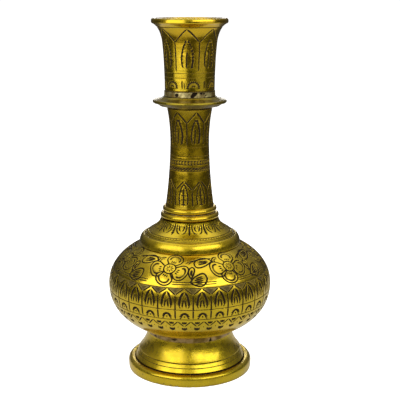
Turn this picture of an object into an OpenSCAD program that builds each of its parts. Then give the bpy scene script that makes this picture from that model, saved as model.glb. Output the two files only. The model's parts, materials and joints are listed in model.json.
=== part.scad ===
// Engraved brass bottle vase (surahi): a flared foot, a squat bulb raised in two halves,
// a moulded shoulder collar, a slender neck between twin rings and a flange disc, and a
// trumpet mouth cup. The pieces seat in one another and are soldered. Each is turned about Z.
// Millimetres, +Z up, origin at the centre of the foot's resting face.

/* [Foot] */
// Radius of the base flange at its widest
foot_r = 50.1; // [46:0.1:60]
// Radius of the edge that stands on the table
foot_sole_r = 49.7; // [45.2:0.1:59.2]
// Height of the base flange
foot_flange_h = 9.2; // [7:0.1:12]
// Radius of the skirt where it steps onto the flange
foot_skirt_r = 44.2; // [42:0.1:45]
// Radius of the foot where it meets the bulb
foot_top_r = 34; // [30:0.1:37]
// Wall of the foot casting
foot_wall = 2; // [1.5:0.1:2.6]
// Width of the ring that rests on the table
sole_w = 3; // [2:0.1:5]

/* [Bulb] */
// Largest radius of the bulb
bulb_r = 65.1; // [60:0.1:80]
// Height of the bulb's widest line above the table
bulb_z = 71.4; // [66:0.1:86]
// Rise of the bulb above its widest line
bulb_rise = 39.8; // [34:0.1:48]
// Drop of the bulb below its widest line
bulb_drop = 42.6; // [38:0.1:50]
// Roundness of the bulb above its widest line: 2 is an ellipse
rise_power = 2.1; // [2:0.05:2.4]
// Roundness of the bulb below its widest line: 2 is an ellipse
drop_power = 2.2; // [2:0.05:2.4]
// Wall of the two bulb shells
bulb_wall = 1.8; // [1.2:0.1:2.6]
// Distance of the brazed seam below the bulb's widest line
seam_drop = 3.7; // [2:0.1:6]
// Height of the lap joint at the seam
seam_lap = 4; // [2.5:0.1:6]
// Radius of the opening under the shoulder collar
shoulder_hole_r = 24; // [20:0.1:28]

/* [Shoulder collar] */
// Radius of the convex moulding that sits on the bulb
collar_r = 40.3; // [38:0.1:48]
// Radius at the top of that moulding
moulding_top_r = 36; // [33:0.1:37]
// Height of that moulding
moulding_h = 8.4; // [6:0.1:10]
// Radius where the petalled flare ends and the turned lines begin
flare_r = 32.6; // [30:0.1:33]
// Radius of the collar's shoulder under the twin rings
throat_r = 23.2; // [22.6:0.1:25]
// Height of the collar from the bulb to its top face
collar_h = 26.1; // [24:0.1:31]
// Wall of the collar casting
collar_wall = 2.2; // [1.6:0.1:2.6]

/* [Neck] */
// Length of the neck from the collar to the flange seat
neck_len = 83.9; // [72:0.1:108]
// Radius of the neck at its waist
waist_r = 15.2; // [14.6:0.1:18]
// Height of the waist above the collar
waist_up = 54.5; // [46:0.1:60]
// Radius of the neck at its foot
neck_foot_r = 19; // [18.2:0.1:20.4]
// Radius of the neck's lip under the flange disc
neck_lip_r = 17.6; // [17:0.1:19]
// Bore of the neck, where a stopper fits
neck_bore_r = 12.8; // [10.6:0.1:13]
// Length of that straight bore
neck_bore_len = 40; // [20:1:50]
// Bore of the neck at its foot
neck_foot_bore_r = 15.4; // [13.4:0.1:15.8]
// Radius of the spigot that sits in the collar
spigot_r = 17.4; // [17:0.1:17.8]
// Length of the spigot that sits in the collar
spigot_len = 7; // [4:0.1:9]
// Radius of the spigot that passes through the flange disc
top_spigot_r = 14.6; // [14.2:0.1:15.2]

/* [Twin rings] */
// Radius of the half-round wire in the lower ring
lower_wire_r = 2.4; // [1.6:0.1:2.6]
// Radius of the half-round wire in the upper ring
upper_wire_r = 2.2; // [1.5:0.1:2.4]
// Radius of the seat that the lower ring is shrunk onto
lower_ring_seat_r = 20.8; // [20:0.1:21.4]

/* [Flange disc] */
// Radius of the flange disc
disc_r = 28.8; // [26:0.1:35]
// Thickness of the flange disc at its rim
disc_t = 2.6; // [2:0.1:3.6]
// Radius of the hub on the disc, where the mouth cup stands
hub_r = 20.6; // [20.2:0.1:22]
// Height of the hub above the rim
hub_h = 2.5; // [1:0.1:4]
// Height of the spigot on the hub that enters the mouth cup
hub_spigot_h = 3; // [2:0.1:6]
// Radius of the boss under the disc
boss_r = 23.2; // [20:0.1:24]
// Height of the boss under the disc
boss_h = 2.2; // [1:0.1:3]

/* [Mouth cup] */
// Height of the mouth cup
cup_h = 59.3; // [50:0.1:75]
// Height of the flare under the lip
cup_flare_h = 20; // [14:0.1:24]
// Radius of the lip
lip_r = 29.6; // [28:0.1:36]
// Thickness of the lip
lip_t = 4; // [2.5:0.1:5]
// Radius of the cup just above its foot band
cup_r = 19.4; // [19.2:0.1:21]
// Height of the plain band round the cup's foot
cup_band_h = 5; // [3.5:0.1:7]
// Bore of the cup
cup_bore_r = 17.4; // [16:0.1:17.6]
// Length of the straight part of that bore
cup_bore_len = 27; // [18:1:32]

/* [Joints] */
// Clearance between a spigot and its socket, filled by solder
joint_gap = 0.1; // [0.05:0.05:0.2]
// Size of the solder fillets
fillet = 1.3; // [0.8:0.1:1.6]
// Thickness of the solder smeared over a visible joint
smear = 0.5; // [0.3:0.05:0.8]
// Width of a turned line
line_w = 0.9; // [0.5:0.1:1.2]
// Depth of a turned line
line_d = 0.45; // [0.2:0.05:0.7]

/* [Hidden] */
$fn = 96;
brass = [0.72, 0.58, 0.2];
pale_brass = [0.8, 0.66, 0.3];
solder_grey = [0.55, 0.5, 0.42];
curve_steps = 16;
bulb_steps = 30;

// The foot's flare ends in two turned lines above the step onto the base flange
foot_top = [foot_top_r, bulb_under_z(foot_top_r)];
foot_step_z = foot_flange_h + 0.2;
foot_line_1 = [foot_skirt_r - 3, foot_step_z + 6];
foot_line_2 = [foot_skirt_r - 1.6, foot_step_z + 3];
foot_flare_drop = (foot_top.y - foot_line_1.y) * 0.33;

// Heights, each from the piece below it
seam_z = bulb_z - seam_drop;
lap_z = seam_z + seam_lap;
collar_z = bulb_top_z(collar_r);
collar_top_z = collar_z + collar_h;
boss_z = collar_top_z + neck_len;
disc_z = boss_z + boss_h;
hub_z = disc_z + disc_t + hub_h;
neck_top_z = hub_z + hub_spigot_h;
cup_top_z = hub_z + cup_h;

// The twin rings lie just below and just above the joint between collar and neck
ring_gap = 0.3;
lower_ring_z = collar_top_z - ring_gap - lower_wire_r;
upper_ring_z = collar_top_z + ring_gap + upper_wire_r;
upper_ring_seat_r = neck_foot_r + 0.2;

// The shadow groove between the neck's lip and the boss of the flange disc
recess_r = neck_lip_r - 1;
recess_h = 1.7;

// ---- Outlines: every one is a list of [radius, height] points ----

// Points from p0 to p3 along a cubic curve pulled towards p1 and p2, ends included
function curve(p0, p1, p2, p3, steps = curve_steps) = [
    for (i = [0 : steps])
        let (t = i / steps, u = 1 - t)
        u * u * u * p0 + 3 * u * u * t * p1 + 3 * u * t * t * p2 + t * t * t * p3
];

function reverse(points) = [for (i = [len(points) - 1 : -1 : 0]) points[i]];

// A turned V line on a wall that is read downwards
function turned_line(r, z) = [[r, z + line_w / 2], [r - line_d, z], [r, z - line_w / 2]];

// The bulb is two quarters of a superellipse. These give the height of either quarter at a
// radius, and the lower quarter's radius at a height, for the outside or for an inset wall.
function quarter(x, half_w, half_h, power) =
    half_h * pow(1 - pow(min(max(x, 0) / half_w, 1), power), 1 / power);
function bulb_top_z(r, inset = 0) =
    bulb_z + quarter(r, bulb_r - inset, bulb_rise - inset, rise_power);
function bulb_under_z(r, inset = 0) =
    bulb_z - quarter(r, bulb_r - inset, bulb_drop - inset, drop_power);
function bulb_under_r(z, inset = 0) =
    quarter(bulb_z - z, bulb_drop - inset, bulb_r - inset, drop_power);

// The foot's flare, from the bulb down to the first turned line
function foot_flare() = curve(
    foot_top, foot_top + [0, -foot_flare_drop],
    foot_line_1 + [-4.2, foot_flare_drop * 0.9], foot_line_1 + [-0.1, line_w]
);

// Points of the upper quarter, from a radius near the axis out to the widest line
function rise_points(from_r, inset = 0) =
    let (half_w = bulb_r - inset, start = acos(from_r / half_w))
    [for (i = [0 : bulb_steps])
        let (r = half_w * cos(start * (1 - i / bulb_steps)))
        [r, bulb_top_z(r, inset)]];

// Points of the lower quarter, from a height near the widest line in to the axis
function drop_points(from_z, inset = 0) =
    let (half_w = bulb_r - inset, start = acos(bulb_under_r(from_z, inset) / half_w))
    [for (i = [0 : bulb_steps])
        let (r = half_w * cos(start + (90 - start) * i / bulb_steps))
        [r, bulb_under_z(r, inset)]];

// A ring of solder in the corner between a wall at radius r and a flat face at height z
module solder_ring(r, z, out, up) {
    color(solder_grey) rotate_extrude() polygon(concat(
        [[r, z]],
        curve([r + out, z], [r + out * 0.35, z + up * 0.1],
            [r + out * 0.1, z + up * 0.35], [r, z + up], 6)
    ));
}

// A ring of half-round wire with its flat side on a wall at radius r
module half_round_ring(r, z, wire_r) {
    color(pale_brass) rotate_extrude() intersection() {
        translate([r, z]) circle(wire_r, $fn = 48);
        translate([r, z - wire_r]) square([wire_r, 2 * wire_r]);
    }
}

// ---- Pieces ----

// Hollow flared foot, its top cut to the curve of the bulb
module foot() {
    inner_top = [foot_top_r - foot_wall, bulb_under_z(foot_top_r - foot_wall)];
    inner_step = [foot_skirt_r - foot_wall, foot_flange_h - 1];
    outside = concat(
        foot_flare(),
        turned_line(foot_line_1.x, foot_line_1.y),
        turned_line(foot_line_2.x, foot_line_2.y),
        [[foot_skirt_r, foot_step_z], [foot_skirt_r - 0.2, foot_step_z - 1]],
        curve([foot_skirt_r, foot_flange_h - 1.2], [foot_skirt_r + 2.2, foot_flange_h + 0.4],
            [foot_r, foot_flange_h * 0.95], [foot_r, foot_flange_h * 0.56]),
        curve([foot_r - 0.02, foot_flange_h * 0.5], [foot_r - 0.1, foot_flange_h * 0.2],
            [foot_sole_r + 0.2, 0.3], [foot_sole_r, 0], 6)
    );
    inside = concat(
        [[foot_sole_r - sole_w, 0], [foot_sole_r - sole_w, foot_flange_h * 0.4]],
        curve(inner_step, inner_step + [-4, foot_flare_drop],
            inner_top + [0, -foot_flare_drop], inner_top)
    );
    color(brass) rotate_extrude() polygon(concat(outside, inside));
}

// Solder smeared round the outside of the joint between foot and bulb
module foot_solder() {
    tip_r = foot_top_r + fillet;
    tail = 3;
    tail_end = foot_flare()[tail];
    color(solder_grey) rotate_extrude() polygon(concat(
        [for (i = [0 : tail - 1]) foot_flare()[i]],
        curve(tail_end, tail_end + [smear, smear],
            [foot_top_r + smear, foot_top.y - smear], [tip_r, bulb_under_z(tip_r)], 6)
    ));
}

// Lower half of the bulb, closed at the bottom, with a thinned lip that enters the upper half
module lower_bulb() {
    lip_r = bulb_under_r(seam_z) - bulb_wall / 2 - joint_gap / 2;
    lip = [[bulb_under_r(seam_z, bulb_wall), lap_z], [lip_r, lap_z], [lip_r, seam_z]];
    color(brass) rotate_extrude() polygon(concat(
        lip, drop_points(seam_z), reverse(drop_points(seam_z, bulb_wall))
    ));
}

// Braze drawn through the seam, left as a small ring inside the bulb
module seam_braze() {
    inner_r = bulb_under_r(seam_z, bulb_wall);
    wall_r = bulb_r - bulb_wall;
    color(pale_brass) rotate_extrude()
        polygon([[inner_r, lap_z], [wall_r, lap_z + fillet], [wall_r, lap_z]]);
}

// Upper half of the bulb, open at the shoulder, with a rebate over the lower half's lip
module upper_bulb() {
    rebate_r = bulb_under_r(seam_z) - bulb_wall / 2 + joint_gap / 2;
    wall_r = bulb_r - bulb_wall;
    wall_z = lap_z + fillet;
    inner = [for (p = rise_points(shoulder_hole_r, bulb_wall)) if (p.y > wall_z + 0.3) p];
    color(brass) rotate_extrude() polygon(concat(
        rise_points(shoulder_hole_r),
        [[bulb_under_r(seam_z), seam_z], [rebate_r, seam_z], [rebate_r, lap_z],
         [wall_r, lap_z], [wall_r, wall_z]],
        reverse(inner)
    ));
}

// Solder inside the shoulder, in the corner between the collar and the bulb
module shoulder_solder() {
    r = collar_r - 2 * collar_wall;
    tip_r = r - fillet * 1.4;
    foot_of_wall = [r, bulb_top_z(r)];
    color(solder_grey) rotate_extrude() polygon(concat(
        [foot_of_wall],
        curve([r, foot_of_wall.y + fillet], foot_of_wall + [-fillet * 0.1, fillet * 0.5],
            foot_of_wall + [-fillet * 0.6, fillet * 0.35], [tip_r, bulb_top_z(tip_r)], 6)
    ));
}

// Moulded collar: petalled flare, three turned lines and a convex moulding that rests on the bulb
module shoulder_collar() {
    moulding_z = collar_z + moulding_h;
    flare = [flare_r, moulding_z + 2.8];
    throat = [throat_r, lower_ring_z - lower_wire_r];
    band = [moulding_top_r, moulding_z] - flare;
    moulding_w = collar_r - moulding_top_r;
    socket_r = spigot_r + joint_gap;
    socket_z = collar_top_z - spigot_len;
    skirt_r = collar_r - 2 * collar_wall;
    outside = concat(
        [[lower_ring_seat_r, collar_top_z], [lower_ring_seat_r, throat.y]],
        curve(throat, throat + [0.1, -3.2], flare + [-7, 4], flare),
        [for (i = [0.3, 1.3, 2.3]) each
            [flare + band * (i - 0.2) / 3, flare + band * i / 3 + [-line_d, -line_d] / 2,
             flare + band * (i + 0.2) / 3]],
        [for (a = [90 : -9 : 0])
            [moulding_top_r + moulding_w * cos(a), collar_z + 0.7 + (moulding_h - 0.7) * sin(a)]],
        [[collar_r - 0.3, collar_z + 0.3], [collar_r - 0.5, bulb_top_z(collar_r - 0.5)]]
    );
    inside = concat(
        [for (i = [0 : 4])
            let (r = collar_r - 0.5 + (skirt_r - collar_r + 0.5) * i / 4)
            [r, bulb_top_z(r)]],
        curve([skirt_r, collar_z + 4], [flare_r - 2.4, flare.y - 2.6],
            [throat_r + 1, flare.y], [socket_r + collar_wall, throat.y - 4.6]),
        [[neck_foot_bore_r, socket_z], [socket_r, socket_z], [socket_r, collar_top_z]]
    );
    color(brass) rotate_extrude() polygon(concat(outside, inside));
}

module lower_ring() half_round_ring(lower_ring_seat_r, lower_ring_z, lower_wire_r);
module upper_ring() half_round_ring(upper_ring_seat_r, upper_ring_z, upper_wire_r);

// Solder on the collar's top face, under the upper ring
module neck_solder() {
    inner_r = upper_ring_seat_r;
    outer_r = lower_ring_seat_r - 0.2;
    color(solder_grey) rotate_extrude()
        translate([inner_r, collar_top_z]) square([outer_r - inner_r, ring_gap]);
}

// Tapered neck with a spigot at each end
module neck_tube() {
    lip = [neck_lip_r, boss_z - recess_h];
    waist = [waist_r, collar_top_z + waist_up];
    foot_z = upper_ring_z + upper_wire_r;
    neck_foot = [neck_foot_r, foot_z + 1];
    above_waist = lip.y - waist.y;
    below_waist = waist.y - neck_foot.y;
    outside = concat(
        [[top_spigot_r, neck_top_z], [top_spigot_r, boss_z], [recess_r, boss_z],
         [recess_r, lip.y], [lip.x - 0.4, lip.y]],
        curve(lip - [0, 0.4], lip - [1.7, above_waist * 0.33],
            waist + [-0.05, above_waist * 0.33], waist),
        curve(waist - [0, 0.5], waist + [0.3, -below_waist * 0.3],
            neck_foot + [-2.4, below_waist * 0.34], neck_foot),
        [[upper_ring_seat_r, foot_z], [upper_ring_seat_r, collar_top_z],
         [spigot_r, collar_top_z], [spigot_r, collar_top_z - spigot_len]]
    );
    inside = [
        [neck_foot_bore_r, collar_top_z - spigot_len], [neck_foot_bore_r, collar_top_z],
        [neck_bore_r, neck_top_z - neck_bore_len], [neck_bore_r, neck_top_z]
    ];
    color(brass) rotate_extrude() polygon(concat(outside, inside));
}

// Solder under the boss of the flange disc, in the shadow groove above the neck's lip
module flange_solder() solder_ring(recess_r, boss_z, fillet, -fillet / 2);

// Disc with a rounded rim, a low hub and a spigot for the mouth cup above, and a boss beneath
module flange_disc() {
    rim = disc_t / 2;
    bore = top_spigot_r + joint_gap;
    cup_spigot_r = cup_bore_r - joint_gap;
    color(brass) rotate_extrude() polygon(concat(
        [[bore, neck_top_z], [cup_spigot_r, neck_top_z], [cup_spigot_r, hub_z], [hub_r, hub_z]],
        curve([hub_r + 0.2, hub_z - hub_h * 0.1], [hub_r + 1.2, hub_z - hub_h * 0.5],
            [disc_r - rim - 3, disc_z + disc_t + 0.4], [disc_r - rim, disc_z + disc_t], 8),
        [for (a = [75 : -15 : -60]) [disc_r - rim + rim * cos(a), disc_z + rim + rim * sin(a)]],
        curve([disc_r - rim, disc_z], [disc_r - 3, disc_z - boss_h * 0.2],
            [boss_r + 0.6, boss_z + boss_h * 0.3], [boss_r, boss_z], 8),
        [[bore, boss_z]]
    ));
}

// Solder smeared round the foot of the mouth cup
module cup_solder() {
    foot = [cup_r, hub_z];
    color(solder_grey) rotate_extrude() polygon(concat(
        [foot, foot + [smear * 2, 0]],
        curve(foot + [smear * 1.6, smear * 0.4], foot + [smear, smear],
            foot + [smear, smear * 3], foot + [smear, cup_band_h - smear], 6),
        [[cup_r, cup_band_h + hub_z - smear / 2]]
    ));
}

// Trumpet mouth with a thick rounded lip and a plain band round its foot
module mouth_cup() {
    under_lip = [lip_r - 1.2, cup_top_z - lip_t];
    band_z = hub_z + cup_band_h;
    mid = [cup_r + 1.6, cup_top_z - cup_flare_h];
    bore_top = [cup_bore_r, hub_z + cup_bore_len];
    inner_mid = [cup_bore_r + 1.4, mid.y];
    flare_h = under_lip.y - mid.y;
    outside = concat(
        [[lip_r - 1, cup_top_z], [lip_r - 0.3, cup_top_z - 0.4], [lip_r, cup_top_z - 1.1],
         [lip_r, under_lip.y + 1.1], [lip_r - 0.4, under_lip.y + 0.4]],
        curve(under_lip, under_lip + [-4.6, -flare_h * 0.14],
            mid + [0.6, flare_h * 0.46], mid),
        curve(mid - [0.02, 0.3], mid - [0.8, 7], [cup_r + 0.1, band_z + 14], [cup_r, band_z + line_w / 2]),
        [[cup_r - line_d, band_z], [cup_r, band_z - line_w / 2], [cup_r, hub_z]]
    );
    inside = concat(
        [[cup_bore_r, hub_z], bore_top],
        curve(bore_top + [0.02, 0.4], bore_top + [0.4, 6], inner_mid - [0.5, 5], inner_mid, 8),
        curve(inner_mid + [0.05, 0.4], inner_mid + [1.2, flare_h * 0.5],
            [lip_r - 7, under_lip.y - 1.2], [lip_r - 3.6, cup_top_z - 0.3]),
        [[lip_r - 3, cup_top_z]]
    );
    color(brass) rotate_extrude() polygon(concat(outside, inside));
}

foot();
foot_solder();
lower_bulb();
seam_braze();
upper_bulb();
shoulder_solder();
shoulder_collar();
lower_ring();
neck_solder();
upper_ring();
neck_tube();
flange_solder();
flange_disc();
cup_solder();
mouth_cup();
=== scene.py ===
"""A chased and turned brass bottle vase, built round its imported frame.

Every node is replaced by a finer skin of the same size. A skin is turned from the node's own outline, and
its decoration is cut into it as real V-shaped chisel grooves, always inward from the frame's surface.
Angles run round the axis from the front (-Y), positive towards +X. Lengths are in millimetres, and in metres
from the camera on.
"""

import json
import math

import bmesh
import bpy
import numpy as np
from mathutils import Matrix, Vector, geometry, noise

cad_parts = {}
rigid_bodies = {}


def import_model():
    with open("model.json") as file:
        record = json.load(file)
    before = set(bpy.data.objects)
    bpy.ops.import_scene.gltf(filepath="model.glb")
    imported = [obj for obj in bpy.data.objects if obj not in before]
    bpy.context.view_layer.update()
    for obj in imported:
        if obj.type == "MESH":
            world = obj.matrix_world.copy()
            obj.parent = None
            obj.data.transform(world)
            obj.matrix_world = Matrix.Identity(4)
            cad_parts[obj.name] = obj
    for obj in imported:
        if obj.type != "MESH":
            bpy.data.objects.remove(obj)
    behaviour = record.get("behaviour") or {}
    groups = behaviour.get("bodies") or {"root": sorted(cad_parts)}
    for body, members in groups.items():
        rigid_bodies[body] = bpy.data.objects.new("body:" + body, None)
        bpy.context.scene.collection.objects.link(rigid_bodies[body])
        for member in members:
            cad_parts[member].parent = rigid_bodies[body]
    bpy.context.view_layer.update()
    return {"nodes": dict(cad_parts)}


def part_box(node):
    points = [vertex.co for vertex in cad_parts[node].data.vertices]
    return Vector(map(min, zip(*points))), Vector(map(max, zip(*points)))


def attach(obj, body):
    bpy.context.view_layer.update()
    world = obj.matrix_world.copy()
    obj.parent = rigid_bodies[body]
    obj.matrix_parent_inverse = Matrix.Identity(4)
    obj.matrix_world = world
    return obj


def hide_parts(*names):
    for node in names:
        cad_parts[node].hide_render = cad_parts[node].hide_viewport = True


MM = 0.001
SEGMENTS = 180  # straight pieces in a plain turned ring
CREASE = 0.8  # reach of the darkening in an inside corner
CREASE_DARKENING = 0.3  # that darkening, as the depth of a cut
EDGE_DARKENING = 0.001  # an outside corner has next to none
CORNER = math.radians(25)  # an outline that turns more than this has a true edge
GROOVE_SLOPE = 0.7  # depth of a groove beside its half width
WEAR = 1.5  # how much wider the worn grooves are than the chisel that cut them
STEP = 2.0  # side of the triangles between the grooves
TAPER = 1.3  # length of a groove's pointed end beside its width
TURN = 2 * math.pi

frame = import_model()
noise.seed_set(11)  # the drift of every hand-cut band


# ---------------------------------------------------------------- outlines


def outline(node):
    """The node's section as a closed loop of (radius, height), counter-clockwise from its mesh at +X."""
    bm = bmesh.new()
    bm.from_mesh(frame["nodes"][node].data)
    bmesh.ops.remove_doubles(bm, verts=bm.verts, dist=2e-6)
    on_plane = {v for v in bm.verts if abs(v.co.y) < 2e-6 and v.co.x > -1e-6}
    beside = {v: [e.other_vert(v) for e in v.link_edges if e.other_vert(v) in on_plane] for v in on_plane}
    loop = [min(on_plane, key=lambda v: (v.co.x > 1e-6, v.co.z))]
    seen = set(loop)
    while steps := [v for v in beside[loop[-1]] if v not in seen]:
        loop.append(min(steps, key=lambda v: len(beside[v])))
        seen.add(loop[-1])
    points = np.array([(max(v.co.x, 0) / MM, v.co.z / MM) for v in loop])
    bm.free()
    x, y = points[:, 0], points[:, 1]
    area = np.sum(x * np.roll(y, -1) - np.roll(x, -1) * y)
    return points if area > 0 else points[::-1]


def turn_at(points, i):
    """How sharply an open line bends at point i."""
    a = points[i] - points[i - 1]
    b = points[i + 1] - points[i]
    return abs(math.atan2(a[0] * b[1] - a[1] * b[0], a @ b))


def smoothed(points, step=0.6):
    """An open line with its gentle bends made into curves, and its corners and long straights kept."""
    out = [points[0]]
    corner = [True]
    bends = [math.pi] + [turn_at(points, i) for i in range(1, len(points) - 1)] + [math.pi]
    for i in range(len(points) - 1):
        p, q = points[i], points[i + 1]
        before = points[i - 1] if bends[i] < CORNER else 2 * p - q
        after = points[i + 2] if bends[i + 1] < CORNER else 2 * q - p
        length = math.dist(p, q)
        near = min(math.dist(before, p), math.dist(q, after))
        parts = max(1, math.ceil(length / step))
        straight = length > 4 * near
        for k in range(1, parts + 1):
            t = k / parts
            if straight:
                out.append(p + (q - p) * t)
            else:
                lead = (q - before) * length / (length + math.dist(before, p))
                tail = (after - p) * length / (length + math.dist(q, after))
                h = (2 * t**3 - 3 * t**2 + 1, t**3 - 2 * t**2 + t, 3 * t**2 - 2 * t**3, t**3 - t**2)
                out.append(h[0] * p + h[1] * lead + h[2] * q + h[3] * tail)
            corner.append(k == parts and bends[i + 1] >= CORNER)
    return np.array(out), np.array(corner)


class Side:
    """One side of an outline by its length: radius, height and the normal that points to its right."""

    def __init__(self, points):
        self.points, self.corner = smoothed(points)
        steps = np.linalg.norm(np.diff(self.points, axis=0), axis=1)
        self.s = np.concatenate([[0], np.cumsum(steps)])
        along = np.gradient(self.points, self.s, axis=0)
        along /= np.linalg.norm(along, axis=1)[:, None]
        self.normal = np.stack([along[:, 1], -along[:, 0]], axis=1)

    def at(self, s):
        r, z = (np.interp(s, self.s, self.points[:, i]) for i in (0, 1))
        nr, nz = (np.interp(s, self.s, self.normal[:, i]) for i in (0, 1))
        size = np.hypot(nr, nz)
        return r, z, nr / size, nz / size

    def length_at(self, z):
        """The length at which the outermost crossing of height z lies."""
        zs = self.points[:, 1]
        best = (-1, 0)
        for i in range(len(zs) - 1):
            if min(zs[i], zs[i + 1]) <= z <= max(zs[i], zs[i + 1]) and zs[i] != zs[i + 1]:
                t = (z - zs[i]) / (zs[i + 1] - zs[i])
                r = self.points[i, 0] + t * (self.points[i + 1, 0] - self.points[i, 0])
                best = max(best, (r, self.s[i] + t * (self.s[i + 1] - self.s[i])))
        return best[1]

    def stations(self, start, end, spacing):
        """Lengths from start to end with their darkening, close enough to follow every bend."""
        out = []
        last = None
        for s, n, darkening in self.marks():
            if not start < s < end:
                continue
            bend = math.pi if last is None else math.acos(max(-1, min(1, float(n @ last[1]))))
            if darkening or bend > math.radians(5) or s - last[0] > spacing:
                out.append((float(s), darkening))
                last = (s, n)
        return out

    def marks(self):
        """Every point's length, normal and darkening, with two more points beside an inside corner."""
        out = []
        for i, (s, n) in enumerate(zip(self.s, self.normal)):
            darkening = 0.0
            if self.corner[i] and 0 < i < len(self.s) - 1:
                a = self.points[i] - self.points[i - 1]
                b = self.points[i + 1] - self.points[i]
                # An inside corner of the outline is darkened like a shallow cut, an outside corner hardly at
                # all.
                darkening = CREASE_DARKENING if a[0] * b[1] - a[1] * b[0] < 0 else EDGE_DARKENING
            for near in (s - CREASE, s + CREASE):
                if darkening == CREASE_DARKENING and np.min(np.abs(self.s - near)) > 0.2:
                    r, z, nr, nz = self.at(near)
                    out.append((near, np.array([nr, nz]), EDGE_DARKENING))
            out.append((s, n, darkening))
        return sorted(out, key=lambda mark: mark[0])


def sides(node):
    """The outer side of a node's outline from bottom to top, and the inner side from top to bottom."""
    loop = outline(node)
    top = max(range(len(loop)), key=lambda i: (round(loop[i][1], 3), loop[i][0]))
    bottom = min(range(len(loop)), key=lambda i: (round(loop[i][1], 3), -loop[i][0]))
    outer = np.roll(loop, -bottom, axis=0)[: (top - bottom) % len(loop) + 1]
    inner = np.roll(loop, -top, axis=0)[: (bottom - top) % len(loop) + 1]
    return Side(outer), Side(inner)


# ---------------------------------------------------------------- strokes


def cut(points, width=0.6, taper=True, through=False):
    """A chisel groove along points. It thins out at both ends unless taper is False."""
    return {"line": np.array(points, float), "width": width * WEAR, "taper": taper, "through": through}


def curve(*points, steps=8):
    """Points along the Bezier curve that the given points pull."""
    out = []
    for t in np.linspace(0, 1, steps + 1):
        row = [np.array(p, float) for p in points]
        while len(row) > 1:
            row = [(1 - t) * a + t * b for a, b in zip(row, row[1:])]
        out.append(row[0])
    return out


def arc(centre, radius, start, end, steps=10):
    """Points on an arc, in degrees. radius may be a pair, for an ellipse."""
    rx, ry = radius if isinstance(radius, tuple) else (radius, radius)
    angles = np.radians(np.linspace(start, end, steps + 1))
    return [(centre[0] + rx * math.cos(a), centre[1] + ry * math.sin(a)) for a in angles]


def point_at(centre, radius, angle):
    """The point at a distance from centre, in the direction of angle in degrees."""
    a = math.radians(angle)
    return centre[0] + radius * math.cos(a), centre[1] + radius * math.sin(a)


def moved(strokes, change):
    """The strokes with every point passed through change."""
    return [{**s, "line": np.array([change(p) for p in s["line"]])} for s in strokes]


def ribbon(stroke, step):
    """A stroke's centre line, spaced no wider than step, and its half width at each point."""
    line = stroke["line"]
    lengths = np.concatenate([[0], np.cumsum(np.linalg.norm(np.diff(line, axis=0), axis=1))])
    total = lengths[-1]
    width = stroke["width"]
    end = min(TAPER * width, total / 2)
    marks = set(lengths)
    for a, b in zip(lengths, lengths[1:]):
        parts = math.ceil((b - a) / step)
        marks |= {a + (b - a) * k / parts for k in range(1, parts)}
    if stroke["taper"]:
        marks = {m for m in marks if m in (0, total) or end * 1.2 < m < total - end * 1.2}
        marks |= {end, total - end}
    marks = np.array(sorted(marks))
    marks = marks[np.concatenate([[True], np.diff(marks) > 1e-4])]
    centre = np.stack([np.interp(marks, lengths, line[:, i]) for i in (0, 1)], axis=1)
    half = np.full(len(marks), width / 2)
    if stroke["taper"]:
        half *= np.clip(np.minimum(marks, total - marks) / end, 0, 1)
    return centre, half


def edge_lines(centre, half):
    """The two edges of a ribbon."""
    along = np.gradient(centre, axis=0)
    along /= np.linalg.norm(along, axis=1)[:, None]
    across = np.stack([-along[:, 1], along[:, 0]], axis=1) * half[:, None]
    return centre + across, centre - across


def inside(points, polygon):
    """Which points lie inside a polygon."""
    x, y = points[:, 0], points[:, 1]
    hit = np.zeros(len(points), bool)
    for (x0, y0), (x1, y1) in zip(polygon, np.roll(polygon, -1, axis=0)):
        crosses = (y0 > y) != (y1 > y)
        if y1 != y0:
            hit ^= crosses & (x < (x1 - x0) * (y - y0) / (y1 - y0) + x0)
    return hit


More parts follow.
